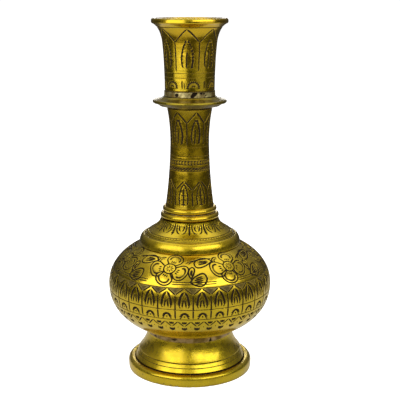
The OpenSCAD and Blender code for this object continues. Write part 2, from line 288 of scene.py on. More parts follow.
def tile(width, height, strokes, stains, step):
    """One repeat of a pattern as a triangle mesh: points, depth and stain at each, and faces."""
    points, edges, segments = [], [], []

    def add(line):
        first = len(points)
        points.extend((float(x), float(y)) for x, y in line)
        edges.extend((first + i, first + i + 1) for i in range(len(line) - 1))

    rows = max(2, round(height / step))
    columns = max(2, round(width / step))
    for x in (0, width):
        add([(x, height * k / rows) for k in range(rows + 1)])
    for y in (0, height):
        add([(width * k / columns, y) for k in range(columns + 1)])
    for stroke in strokes:
        centre, half = ribbon(stroke, step)
        for shift in (0,) if stroke["through"] else (-width, 0, width):
            c = centre + (shift, 0)
            if c[:, 0].max() < -1 or c[:, 0].min() > width + 1:
                continue
            add(c)
            for line in edge_lines(c, half):
                add(line)
            segments += [(*p, *q, h, k) for p, q, h, k in zip(c, c[1:], half, half[1:])]
    seg = np.array(segments)

    def inwards(p):
        """How far each point lies inside the edge of the nearest groove, or less than 0 outside them all."""
        a, b = seg[:, 0:2], seg[:, 2:4]
        ab = b - a
        size = np.maximum((ab**2).sum(1), 1e-12)
        t = np.clip(((p[:, None] - a) * ab).sum(2) / size, 0, 1)
        gap = np.linalg.norm(p[:, None] - a - t[..., None] * ab, axis=2)
        return (seg[:, 4] + t * (seg[:, 5] - seg[:, 4]) - gap).max(1)

    row_gap = step * 0.87  # the height of an even-sided triangle
    fill = np.array(
        [
            (step * (i + 0.5 * (j % 2)), row_gap * j)
            for j in range(1, int(height / row_gap))
            for i in range(0, int(width / step) + 1)
        ]
    ).reshape(-1, 2)
    margin = 0.45 * step
    fill = fill[(fill[:, 0] > margin) & (fill[:, 0] < width - margin) & (fill[:, 1] < height - margin)]
    if len(fill):
        fill = fill[inwards(fill) < -0.35 * step]
    points.extend((float(x), float(y)) for x, y in fill)
    found = geometry.delaunay_2d_cdt([Vector(p) for p in points], edges, [], 0, 1e-5)
    flat = np.array([tuple(v) for v in found[0]])
    faces = []
    slack = 1e-4
    for face in found[2]:
        middle = flat[list(face)].mean(0)
        if slack < middle[0] < width - slack and slack < middle[1] < height - slack:
            faces.append(tuple(face))
    used = sorted({i for f in faces for i in f})
    index = {old: new for new, old in enumerate(used)}
    faces = [tuple(index[i] for i in f) for f in faces]
    flat = flat[used]
    blocks = np.array_split(flat, 1 + len(flat) // 500)
    depth = GROOVE_SLOPE * np.concatenate([inwards(block) for block in blocks])
    depth = np.where(depth < 0.03, 0, depth)
    stain = np.zeros(len(flat))
    for polygon, amount in stains:
        for shift in (-width, 0, width):
            stain = np.maximum(stain, amount * inside(flat, np.array(polygon) + (shift, 0)))
    return flat, depth, stain, faces


# ---------------------------------------------------------------- skins


class Skin:
    """A closed skin built up ring by ring. Each ring is a list of (angle, vertex) in order of angle."""

    def __init__(self):
        self.points, self.cut, self.stain, self.faces = [], [], [], []

    def add(self, angle, r, z, cut_depth, stain=0.0):
        self.points.append((r * math.sin(angle) * MM, -r * math.cos(angle) * MM, z * MM))
        self.cut.append(cut_depth)
        self.stain.append(stain)
        return len(self.points) - 1

    def ring(self, r, z, segments, darkening):
        angles = [TURN * k / segments for k in range(segments)]
        return [(a, self.add(a, r, z, darkening)) for a in angles]

    def join(self, low, high):
        """Faces between two rings, whose counts may differ."""
        if len(low) == len(high) and abs(low[0][0] - high[0][0]) < 1e-6:
            n = len(low)
            for k in range(n):
                m = (k + 1) % n
                self.faces.append((low[k][1], low[m][1], high[m][1], high[k][1]))
            return
        n, m = len(low), len(high)
        shift = min(range(m), key=lambda j: abs(math.remainder(high[j][0] - low[0][0], TURN)))
        high = high[shift:] + high[:shift]
        base = low[0][0]
        first = base + math.remainder(high[0][0] - base, TURN)
        a = [base + (x - base) % TURN for x, _ in low] + [base + TURN]
        b = [first] + [first + (x - high[0][0]) % TURN for x, _ in high[1:]] + [first + TURN]
        i = j = 0
        while i < n or j < m:
            if j == m or (i < n and a[i + 1] <= b[j + 1]):
                self.faces.append((low[i % n][1], low[(i + 1) % n][1], high[j % m][1]))
                i += 1
            else:
                self.faces.append((low[i % n][1], high[(j + 1) % m][1], high[j % m][1]))
                j += 1

    def band(self, side, start, end, count, phase, pattern, wander, step=STEP):
        """A band of the side from length start to end, with count repeats of a pattern cut into it.

        pattern(width, height, girth) gives the strokes and stains of one repeat, where girth(y) is the ratio
        of the band's middle radius to its radius at y. wander is how far the hand strays. Returns the band's
        lowest and highest rings.
        """
        height = end - start
        middle = side.at((start + end) / 2)[0]
        width = TURN * middle / count
        girth = lambda y: middle / side.at(start + y)[0]
        strokes, stains = pattern(width, height, girth)
        flat, depth, stain, faces = tile(width, height, strokes, stains, step)
        left = sorted((i for i in range(len(flat)) if flat[i, 0] < 1e-4), key=lambda i: flat[i, 1])
        right = sorted((i for i in range(len(flat)) if flat[i, 0] > width - 1e-4), key=lambda i: flat[i, 1])
        while len(left) != len(right):
            longer = max(left, right, key=len)
            k = min(range(1, len(longer)), key=lambda k: flat[longer[k], 1] - flat[longer[k - 1], 1])
            spare, kept = longer.pop(k), longer[k - 1]
            faces = [f for f in faces if not {spare, kept} <= set(f)]
            faces = [tuple(kept if i == spare else i for i in f) for f in faces]
        pair = dict(zip(right, left))
        number = {}
        offset = math.radians(phase)
        for k in range(count):
            for i, (x, y) in enumerate(flat):
                if i in pair:
                    continue
                angle = offset + (k + x / width) * TURN / count
                calm = min(1, 3 * y / height, 3 * (1 - y / height))
                spot = Vector((math.cos(angle) * 1.7, math.sin(angle) * 1.7, (start + y) / 9))
                drift = noise.noise_vector(spot) + 0.5 * noise.noise_vector(spot * 3.1)
                lean = drift.x * wander * calm / middle
                s = start + min(height, max(0, y + drift.y * wander * calm))
                r, z, nr, nz = side.at(s)
                bite = depth[i] * (1 + 0.35 * drift.z)
                place = (angle + lean) % TURN, r - bite * nr, z - bite * nz
                number[k, i] = self.add(*place, depth[i], stain[i])
        for k in range(count):
            for face in faces:
                corners = [number[(k + 1) % count, pair[i]] if i in pair else number[k, i] for i in face]
                self.faces.append(tuple(corners))

        def border(y):
            row = [i for i in range(len(flat)) if abs(flat[i, 1] - y) < 1e-4 and i not in pair]
            ring = []
            for k in range(count):
                for i in row:
                    v = number[k, i]
                    px, py, _ = self.points[v]
                    ring.append((math.atan2(px, -py) % TURN, v))
            return sorted(ring)

        return border(0), border(height)


def turned(name, node, bands=(), dents=None, segments=SEGMENTS):
    """A piece with the node's own outline, revolved, with bands of decoration on its outer side.

    bands are (z_low, z_high, count, phase, pattern, wander, step) from the bottom up. dents(angle, r, z) gives
    how far to sink a plain point, and its stain value, which on the flange disc is painted shade.
    """
    outer, inner = sides(node)
    skin = Skin()
    rings = []

    def plain(side, start, end):
        for s, darkening in side.stations(start, end, 0.4 if dents else 2.4):
            r, z, nr, nz = (float(v) for v in side.at(s))
            if dents and side is outer:
                row = []
                for k in range(segments):
                    a = TURN * k / segments
                    sink, stain = dents(a, r, z)
                    row.append((a, skin.add(a, r - sink * nr, z - sink * nz, darkening, stain)))
            else:
                row = skin.ring(r, z, segments, darkening)
            rings.append((row, row))

    place = -1.0
    for z_low, z_high, *decoration in bands:
        start, end = outer.length_at(z_low), outer.length_at(z_high)
        plain(outer, place, start)
        rings.append(skin.band(outer, start, end, *decoration))
        place = end
    plain(outer, place, outer.s[-1] - 1e-6)
    plain(inner, -1.0, inner.s[-1] - 1e-6)
    for (_, upper), (lower, _) in zip(rings, rings[1:] + rings[:1]):
        skin.join(upper, lower)
    piece(name, node, skin)


def piece(name, node, skin):
    """The skin as an object that stands for the node and rides on the frame."""
    mesh = bpy.data.meshes.new(name)
    mesh.from_pydata(skin.points, [], skin.faces)
    for key, values in (("cut", skin.cut), ("stain", skin.stain)):
        mesh.attributes.new(key, "FLOAT", "POINT").data.foreach_set("value", np.array(values, np.float32))
    bm = bmesh.new()
    bm.from_mesh(mesh)
    bmesh.ops.remove_doubles(bm, verts=bm.verts, dist=1e-8)
    bmesh.ops.dissolve_degenerate(bm, edges=bm.edges, dist=1e-7)
    bmesh.ops.delete(bm, geom=[v for v in bm.verts if not v.link_faces], context="VERTS")
    bmesh.ops.recalc_face_normals(bm, faces=bm.faces)
    for face in bm.faces:
        face.smooth = True
    for edge in bm.edges:
        edge.smooth = not edge.is_manifold or edge.calc_face_angle() < CORNER
    bm.to_mesh(mesh)
    bm.free()
    thing = bpy.data.objects.new(name, mesh)
    bpy.context.scene.collection.objects.link(thing)
    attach(thing, "root")
    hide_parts(node)


# ---------------------------------------------------------------- patterns


def walk(path, t):
    """The point and the direction at share t of a path."""
    steps = np.concatenate([[0], np.cumsum(np.linalg.norm(np.diff(path, axis=0), axis=1))])
    at = lambda share: np.array([np.interp(share * steps[-1], steps, np.array(path)[:, i]) for i in (0, 1)])
    ahead = at(min(1, t + 0.02)) - at(max(0, t - 0.02))
    return at(t), math.atan2(ahead[1], ahead[0])


def barbs(path, count, length, width, lean, centred, first=0.04, last=0.92):
    """Short cuts along a path, which lean from it by lean degrees and grow shorter towards its end.

    centred is the share of each cut that lies behind the path.
    """
    out = []
    for k in range(count):
        t = first + (last - first) * k / (count - 1)
        (x, y), heading = walk(path, t)
        a = heading + math.radians(lean)
        reach = length * (1 - 0.35 * t)
        dx, dy = reach * math.cos(a), reach * math.sin(a)
        x0, y0 = x - centred * dx, y - centred * dy
        out.append(cut([(x0, y0), (x0 + dx, y0 + dy)], width))
    return out


def blade(middle, low, high, spread, side):
    """The edge of a leaf: from its foot, out by spread and in to its tip. side is -1 or 1."""
    foot = (middle + side * spread * 0.75, low)
    belly = (middle + side * spread * 1.35, (low + high) / 2)
    return curve(foot, belly, (middle + side * 0.2, high))


def feather_arches(valley, leaf_low, leaf_high, line=0.85):
    """Tall pointed panels with a feathered leaf in each."""

    def pattern(width, height, girth):
        mid = width / 2
        v = valley * height
        apex = height - 0.6
        strokes = [
            cut([(0, 0.4), (0, v + 0.8)], line),
            cut([(-0.4, v - 0.6), (mid + 0.3, apex + 0.3)], line),
            cut([(width + 0.4, v - 0.6), (mid - 0.2, apex + 0.3)], line * 1.25),
        ]
        low, high = leaf_low * height, leaf_high * height
        left, right = (blade(mid, low, high, width * 0.25, side) for side in (-1, 1))
        strokes.append(cut(left, 0.85))
        strokes += barbs(left, 8, 3.2, 1.2, 22, 0.4)
        strokes += barbs(right, 9, 4.3, 1.6, -26, 0.5)
        strokes.append(cut([(mid - 0.7, low - 0.9), (mid - 0.2, low + 0.62 * (high - low))], 0.95))
        return strokes, []

    return pattern


def hatched_arches(valley, leaf_low, leaf_high):
    """Pointed panels filled with a hatched leaf on a stem."""

    def pattern(width, height, girth):
        mid = width / 2
        v = valley * height
        apex = height - 0.6
        low, high = leaf_low * height, leaf_high * height
        strokes = [
            cut([(0, 0.3), (0, v + 0.5)], 0.9),
            cut([(-0.3, v - 0.4), (mid + 0.2, apex + 0.2)], 0.9),
            cut([(width + 0.3, v - 0.4), (mid - 0.1, apex + 0.2)], 1.0),
            cut([(mid, 0.4), (mid, high - 2.6)], 0.9),
        ]
        for side in (-1, 1):
            edge = blade(mid, low, high, width * 0.27, side)
            strokes.append(cut(edge, 0.8))
            strokes += barbs(edge, 8, 2.7, 1.1, side * 24, 0.35)
            inner = blade(mid, low, high * 0.75, width * 0.1, side)
            strokes += barbs(inner, 4, 2.2, 0.9, side * 24, 0.5)
        return strokes, []

    return pattern


def palmettes(width, height, girth):
    """Upright lines with a fan of short cuts between them."""
    centre = (width * 0.5, height * 0.22)
    strokes = [
        cut([(0, 0.3), (0, height * 0.92)], 0.85),
        cut([(width * 0.1, 0.3), (width * 0.1, height * 0.7)], 0.6),
    ]
    for a in range(-5, 186, 19):
        strokes.append(cut([point_at(centre, 2.8, a), point_at(centre, 5.8, a)], 1.15))
    strokes += [cut([point_at(centre, 0.5, a), point_at(centre, 2.0, a)], 0.8) for a in range(20, 161, 35)]
    return strokes, [([point_at(centre, 5.2, a) for a in range(0, 181, 20)], 0.45)]


def ring_lines(*heights, width=0.5):
    """Lines all the way round, at shares of the band's height."""

    def pattern(repeat, height, girth):
        return [cut([(-1, height * h), (repeat + 1, height * h)], width, False, True) for h in heights], []

    return pattern


def bordered(width, height, line, strokes, grime):
    """Strokes between two lines all the way round, and a stain over them."""
    lines = [cut([(-1, y), (width + 1, y)], line, False, True) for y in (0.35, height - 0.35)]
    field = [(0, 0.3), (width, 0.3), (width, height - 0.3), (0, height - 0.3)]
    return lines + strokes, [(field, grime)]


def rope(width, height, girth):
    """A twisted rope between two lines."""
    twist = curve((-0.4 * width, 0.6), (0.3 * width, height * 0.6), (1.4 * width, height - 0.6), steps=4)
    return bordered(width, height, 0.55, [cut(twist, 0.85)], 0.3)


def braid(width, height, girth):
    """Two rows of slanting cuts that lean against each other."""
    middle = (0.1 * width, height * 0.5)
    strokes = [cut([middle, (width * 0.95, y)], 0.9) for y in (height - 0.5, 0.5)]
    return bordered(width, height, 0.55, strokes, 0.3)


def collar_petals(width, height, girth):
    """Upright panels, each with two petals, one in the other, and stippling beside them."""
    mid = width / 2
    strokes = [cut([(0, -1), (0, height + 1)], 0.95)]
    for side in (-1, 1):
        x = lambda share: mid + side * share * width
        outer = curve((x(0.34), height * 0.97), (x(0.36), height * 0.2), (x(0.02), height * 0.06))
        inner = curve((x(0.18), height * 0.95), (x(0.17), height * 0.45), (x(0.02), height * 0.32))
        strokes += [cut(outer, 0.8), cut(inner, 0.95)]
        strokes.append(cut([(x(0.07), height * 0.95), (x(0.05), height * 0.62)], 0.7))
        for k in range(4):
            y = height * (0.12 + 0.18 * k)
            strokes.append(cut([(x(0.45), y), (x(0.4), y + 1.1)], 0.65))
        for k in range(3):
            y = height * (0.4 + 0.17 * k)
            strokes.append(cut([(x(0.3), y), (x(0.25), y + 1.1)], 0.7))
    return strokes, []


def punched(width, height, girth):
    """A row of small punch marks between two lines."""
    punch = cut([(0.2 * width, height * 0.5), (0.8 * width, height * 0.5)], 0.7)
    return bordered(width, height, 0.5, [punch], 0)


def flame_arches(valley, leaf_low, leaf_high):
    """Low pointed panels with a flame in each, and hatched triangles between their tips."""

    def pattern(width, height, girth):
        mid = width / 2
        v = valley * height
        strokes = [
            cut([(0, -2), (0, v + 0.3)], 0.95),
            cut([(-0.2, v - 0.4), (mid + 0.15, height - 0.4)], 0.75),
            cut([(width + 0.2, v - 0.4), (mid - 0.15, height - 0.4)], 0.75),
            cut([(-1, height - 0.25), (width + 1, height - 0.25)], 0.4, False, True),
            cut([(-1, 0.4), (width + 1, 0.4)], 0.5, False, True),
        ]
        low, high = leaf_low * height, leaf_high * height
        rise = high - low
        for side in (-1, 1):
            x = lambda share: mid + side * share * width
            edge = curve((x(0.26), low), (x(0.34), low + 0.55 * rise), (x(-0.01), high))
            strokes.append(cut(edge, 1.45))
            strokes += barbs(edge, 6, 1.7, 0.85, side * 150, 0.1, 0.06, 0.8)
            core = curve((x(0.11), low - 0.3), (x(0.11), low + 0.3 * rise), (x(0.01), low + 0.55 * rise))
            strokes.append(cut(core, 1.0))
        lines = 14
        for k in range(1, lines):
            x = width * (k / lines - 0.5)
            bottom = v + (height - v) * abs(x) / mid + 0.9
            if height - 0.7 - bottom > 0.8:
                strokes.append(cut([(x, bottom), (x, height - 0.6)], 0.38))
        triangle = [(-mid, height), (0, v), (mid, height)]
        return strokes, [(triangle, 1.0)]

    return pattern


def fan_squares(width, height, girth):
    """Square panels with a fan of short cuts low in each."""
    mid = width / 2
    centre = (mid + 0.3, height * 0.3)
    strokes = [
        cut([(0, 0.2), (0, height + 2)], 0.95),
        cut([(-1, 0.25), (width + 1, 0.25)], 0.5, False, True),
        cut(arc(centre, (2.7, 3.1), -20, 200, 12), 1.35),
    ]
    for a in range(-15, 196, 30):
        strokes.append(cut([point_at(centre, 2.2, a), point_at(centre, 4.3, a)], 1.0))
    strokes += [cut([point_at(centre, -0.6, a), point_at(centre, 1.5, a)], 0.7) for a in (62, 90, 118)]
    return strokes, []


def zigzag(width, height, girth):
    """A zigzag line with a small triangle above each valley and a heart below it."""
    mid = width / 2
    top, valley = height - 0.6, height * 0.5
    strokes = [
        cut([(-0.2, top), (mid, valley)], 0.8),
        cut([(width + 0.2, top), (mid, valley)], 0.8),
        cut([(mid, height - 0.8), (mid, height - 3.6)], 1.3),
        cut([(mid, valley - 0.9), (mid, valley - 4.6)], 1.5),
        cut([(0, valley + 0.6), (0, valley - 1.2)], 0.7),
    ]
    for side in (-1, 1):
        strokes.append(cut([(mid + side * 1.9, height - 0.9), (mid + side * 0.1, height - 3.9)], 1.3))
        strokes.append(cut([(mid + side * 2.1, valley - 0.5), (mid + side * 0.1, valley - 5.2)], 1.75))
    return strokes, []


def petal(centre, angle, reach, radius, span=116):
    """A petal wider than long: its outline, a dark crescent of cuts inside it and three cuts at its root."""
    middle = point_at(centre, reach, angle)
    turn = math.radians(angle)

    def rim(share, degrees):
        a = math.radians(degrees)
        out, over = share * radius * math.cos(a), share * radius * 1.2 * math.sin(a)
        return (
            middle[0] + out * math.cos(turn) - over * math.sin(turn),
            middle[1] + out * math.sin(turn) + over * math.cos(turn),
        )

    root = reach * 0.52
    outline_points = [point_at(centre, root, angle - 36)]
    outline_points += [rim(1, a) for a in np.linspace(-span, span, 19)]
    outline_points.append(point_at(centre, root, angle + 36))
    strokes = [cut(outline_points, 0.85, False)]
    for a in np.linspace(-106, 106, 15):
        strokes.append(cut([rim(0.81, a), rim(0.46, a)], 0.8))
    for aside in (-13, 0, 13):
        foot, end = (point_at(centre, reach * share, angle + aside) for share in (0.58, 0.9))
        strokes.append(cut([foot, end], 1.0))
    crescent = [rim(0.8, a) for a in range(-100, 101, 20)] + [rim(0.56, a) for a in range(100, -101, -20)]
    return strokes, (crescent, 0.9)


def leaf(root, tip, bulge, veins=3):
    """A pointed leaf from root to tip with slanting veins. bulge is its half width."""
    root, tip = np.array(root, float), np.array(tip, float)
    spine = tip - root
    across = np.array([-spine[1], spine[0]]) / np.linalg.norm(spine)
    at = lambda share, aside: tuple(root + spine * share + across * aside * bulge)
    strokes = []
    for side in (-1, 1):
        edge = curve(at(0, 0), at(0.08, 1.5 * side), at(0.62, 1.15 * side), at(1, 0))
        strokes.append(cut(edge, 0.95, False))
    for k in range(veins):
        b = (k - (veins - 1) / 2) * 0.42
        strokes.append(cut([at(0.16 + 0.07 * abs(b), b * 0.9), at(0.84 - 0.2 * abs(b), b * 0.55)], 0.95))
    return strokes


def flowers(width, height, girth):
    """A five-petalled flower with leaves and double stems that run on to the next one."""
    centre = (width * 0.36, height * 0.51)
    k = width / 48
    stains = []
    strokes = [cut(arc(centre, 4.7 * k, 0, 360, 20), 0.85, False)]
    for a in range(12, 372, 45):
        strokes.append(cut([point_at(centre, 0.5 * k, a), point_at(centre, 3.7 * k, a)], 0.72))
    for angle, reach, radius in ((-108, 9.4, 5.6), (-21, 9.9, 5.6), (74, 9.0, 5.3), (187, 10.5, 5.9)):
        lines, crescent = petal(centre, angle, reach * k, radius * k)
        strokes += lines
        stains.append(crescent)
    at = lambda across, up: (centre[0] + across * k, centre[1] + up * k)
    back = at(-6.8, 6.4)
    strokes.append(cut(arc(back, 4.2 * k, 62, 200, 9), 0.85))
    for a in range(80, 190, 20):
        strokes.append(cut([point_at(back, 3.3 * k, a), point_at(back, 1.8 * k, a)], 0.75))
    strokes += leaf(at(17.6, 5.4), at(31.4, 6.8), 4.9 * k)
    strokes += leaf(at(31.0, -8.2), at(18.4, -11.4), 5.4 * k, 4)
    strokes += leaf(at(16.6, 1.6), at(18.8, -8.4), 2.2 * k, 2)
    strokes.append(cut(curve(at(10.6, 4.8), at(14.4, 8.6), at(19.6, 10.2), at(30.4, 9.8)), 0.85))
    strokes.append(cut(curve(at(12.8, 4.2), at(15.4, 7.2), at(18.4, 9.0)), 0.75))
    for up in (-11.6, -13.3):
        strokes.append(cut([at(3.6, up), (centre[0] + width - 8.2 * k, centre[1] + up * k)], 0.6))
    wrap = lambda p: (centre[0] + (p[0] - centre[0]) * girth(p[1]), p[1])
    return moved(strokes, wrap), [([wrap(p) for p in polygon], amount) for polygon, amount in stains]


# ---------------------------------------------------------------- pieces

floor_of = lambda node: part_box(node)[0].z / MM
roof_of = lambda node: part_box(node)[1].z / MM

# Every band: its lowest and highest height, repeats, phase in degrees, pattern, wander and triangle size.

# The bulb, by height from the lap of its two halves.
lap = floor_of("upper_bulb")
arch_top = lap + 17.0
garland_top = lap + 36.2
PANELS = 30
PANEL_PHASE = 2.3
turned(
    "chased_upper_bulb",
    "upper_bulb",
    [
        (lap + 0.25, arch_top, PANELS, PANEL_PHASE, flame_arches(0.7, 0.12, 0.86), 0.25, 2.2),
        (arch_top + 0.1, garland_top, 7, -35.3, flowers, 0.5),
    ],
)
turned(
    "chased_lower_bulb",
    "lower_bulb",
    [
        (lap - 19.2, lap - 8.3, 40, -8.2, zigzag, 0.3, 2.2),
        (lap - 7.6, lap - 0.1, PANELS, PANEL_PHASE, fan_squares, 0.2, 2.2),
    ],
)

cup_foot = floor_of("mouth_cup")
turned(
    "chased_mouth_cup",
    "mouth_cup",
    [
        (cup_foot + 6.2, cup_foot + 14.6, 7, -17.2, palmettes, 0.25, 1.6),
        (cup_foot + 14.8, cup_foot + 19.2, 60, 0, ring_lines(0.1, 0.9, width=0.35), 0.1),
        (cup_foot + 19.4, cup_foot + 52.1, 7, -30.9, feather_arches(0.68, 0.1, 0.74), 0.35, 1.8),
        (cup_foot + 52.2, cup_foot + 53.2, 60, 0, ring_lines(0.5, width=0.6), 0),
    ],
)

NECK_SPIGOT = 12.7
neck_foot = floor_of("neck_tube") + NECK_SPIGOT
turned(
    "chased_neck_tube",
    "neck_tube",
    [
        (neck_foot + 0.6, neck_foot + 22.0, 8, -38.0, hatched_arches(0.63, 0.08, 0.86), 0.3, 1.6),
        (neck_foot + 28.3, neck_foot + 31.7, 40, 3, rope, 0.1, 1.4),
        (neck_foot + 33.3, neck_foot + 37.0, 40, 0, braid, 0.1, 1.4),
        (neck_foot + 39.6, neck_foot + 47.6, 40, 0, ring_lines(0.05, 0.95, width=0.35), 0.1),
        (neck_foot + 47.8, neck_foot + 75.2, 7, -8.1, feather_arches(0.66, 0.08, 0.78), 0.3, 1.7),
    ],
)

collar_foot = floor_of("shoulder_collar")
turned(
    "chased_shoulder_collar",
    "shoulder_collar",
    [
        (collar_foot + 9.4, collar_foot + 11.1, 90, 0, punched, 0, 1.2),
        (collar_foot + 12.9, collar_foot + 20.3, 13, -0.5, collar_petals, 0.25, 1.5),
    ],
)

for plain_node in ("lower_ring", "upper_ring"):
    turned("turned_" + plain_node, plain_node)
for solder_node in ("seam_braze", "shoulder_solder", "neck_solder", "flange_solder"):
    turned("smeared_" + solder_node, solder_node)


def pitted(node, pits, lump, deep, grimy_rims=False):
    """Dents for a worn piece: a skin with lumps up to about lump high, and dark pits sunk by deep.

    A pit is its angle in degrees, its height above the node's foot, its half width and its half height.
    grimy_rims stains the node's lowest and highest edges.
    """
    base = floor_of(node)
    roof = roof_of(node)

    def dents(angle, r, z):
        spot = Vector((math.cos(angle) * r, math.sin(angle) * r, z)) * 0.35
        sink = max(0, lump * (0.5 + 0.5 * noise.noise(spot) + 0.25 * noise.noise(spot * 2.7)))
        rim = min(z - base, roof - z) / 0.6 - 0.5 * noise.noise(spot * 2)
        cover = 0.85 * min(1, max(0, 1.1 - rim)) if grimy_rims else 0
        for degrees, up, wide, tall in pits:
            across = math.remainder(angle - math.radians(degrees), TURN) * r / wide
            if abs(across) < 2:
                edge = math.hypot(across, (z - base - up) / tall) + 0.25 * noise.noise(spot * 6)
                cover = max(cover, min(1, max(0, 1.25 - edge) * 2.5))
        return sink + cover * deep, cover

    return dents


CUP_PITS = (
    (-30, 2.3, 1.3, 1.1),
    (9, 2.7, 1.6, 1.4),
    (5, 1.4, 1.1, 1.0),
    (14, 3.5, 0.9, 0.6),
    (26, 3.6, 1.1, 0.45),
    (33, 3.3, 0.9, 0.4),
    (38, 2.0, 0.5, 0.4),
    (118, 2.4, 1.0, 0.8),
    (203, 2.9, 1.3, 0.9),
)
FOOT_SOLDER_PITS = (
    (28, 1.0, 0.6, 2.0),
    (-52, 1.4, 1.4, 0.5),
    (-20, 2.6, 2.0, 0.4),
    (96, 1.0, 0.8, 0.8),
    (190, 0.8, 1.5, 0.5),
)
FOOT_PITS = (
    (-17, 0.9, 1.3, 0.8),
    (-12, 0.4, 1.8, 0.6),
    (-24, 1.6, 0.6, 0.5),
    (3, 0.3, 1.6, 0.4),
    (-31, 0.4, 1.2, 0.5),
    (-48, 4.1, 0.6, 0.5),
    (19, 0.3, 1.0, 0.4),
    (74, 1.1, 1.0, 0.7),
    (131, 0.5, 1.7, 0.5),
    (214, 0.7, 1.2, 0.6),
)
cup_dents = pitted("cup_solder", CUP_PITS, 0.2, 0.12, grimy_rims=True)
turned("smeared_cup_solder", "cup_solder", dents=cup_dents, segments=480)
foot_solder_dents = pitted("foot_solder", FOOT_SOLDER_PITS, 0.12, 0.12)
turned("smeared_foot_solder", "foot_solder", dents=foot_solder_dents, segments=360)

# Painted shade: the flange disc is darkened from its foot up to the start of its rounded rim, as the shade
# under the disc.
painted_shade_top = floor_of("flange_disc") + 3.0
turned("turned_flange_disc", "flange_disc", dents=lambda angle, r, z: (0, float(z < painted_shade_top)))
turned("turned_foot", "foot", dents=pitted("foot", FOOT_PITS, 0.07, 0.25), segments=360)


# ---------------------------------------------------------------- materials


class Nodes:
    """Short ways to make and link the nodes of one material."""

    def __init__(self, name):
        self.material = bpy.data.materials.new(name)
        self.material.use_nodes = True
        self.tree = self.material.node_tree
        self.shader = self.tree.nodes["Principled BSDF"]
        self.place = self.tree.nodes.new("ShaderNodeTexCoord").outputs["Object"]

    def make(self, kind, **settings):
        node = self.tree.nodes.new(kind)
        for key, value in settings.items():
            setattr(node, key, value)
        return node

    def link(self, source, target):
        if isinstance(source, (int, float, tuple)):
            target.default_value = source
        else:
            self.tree.links.new(source, target)

    def noise(self, scale, detail=4.0, stretch=(1, 1, 1), rough=0.55):
        mapping = self.make("ShaderNodeMapping")
        mapping.inputs["Scale"].default_value = stretch
        self.link(self.place, mapping.inputs["Vector"])
        node = self.make("ShaderNodeTexNoise")
        node.inputs["Scale"].default_value = scale
        node.inputs["Detail"].default_value = detail
        node.inputs["Roughness"].default_value = rough
        self.link(mapping.outputs["Vector"], node.inputs["Vector"])
        return node.outputs["Fac"]

    def attribute(self, name):
        return self.make("ShaderNodeAttribute", attribute_name=name).outputs["Fac"]

    def remap(self, value, low, high, out_low=0.0, out_high=1.0):
        node = self.make("ShaderNodeMapRange", interpolation_type="SMOOTHSTEP")
        self.link(value, node.inputs["Value"])
        limits = {"From Min": low, "From Max": high, "To Min": out_low, "To Max": out_high}
        for key, amount in limits.items():
            node.inputs[key].default_value = amount
        return node.outputs["Result"]

    def maths(self, operation, a, b, clamp=False):
        node = self.make("ShaderNodeMath", operation=operation, use_clamp=clamp)
        self.link(a, node.inputs[0])
        self.link(b, node.inputs[1])
        return node.outputs["Value"]

    def mix(self, share, a, b):
        node = self.make("ShaderNodeMix", data_type="RGBA")
        self.link(share, node.inputs["Factor"])
        for source, key in ((a, 6), (b, 7)):
            self.link((*source, 1.0) if isinstance(source, tuple) else source, node.inputs[key])
        return node.outputs[2]

    def bump(self, height, strength, distance, normal=None):
        node = self.make("ShaderNodeBump")
        node.inputs["Strength"].default_value = strength
        node.inputs["Distance"].default_value = distance
        self.link(height, node.inputs["Height"])
        if normal is not None:
            self.link(normal, node.inputs["Normal"])
        return node.outputs["Normal"]


GOLD = (0.90, 0.62, 0.03)
OLIVE = (0.66, 0.48, 0.014)
AMBER = (0.84, 0.52, 0.018)
TARNISH = (0.25, 0.145, 0.008)
SHADE_AND_SOIL = (0.10, 0.055, 0.018)
PATINA = (0.018, 0.010, 0.004)
GRIME_AND_SHADE = (0.055, 0.041, 0.021)


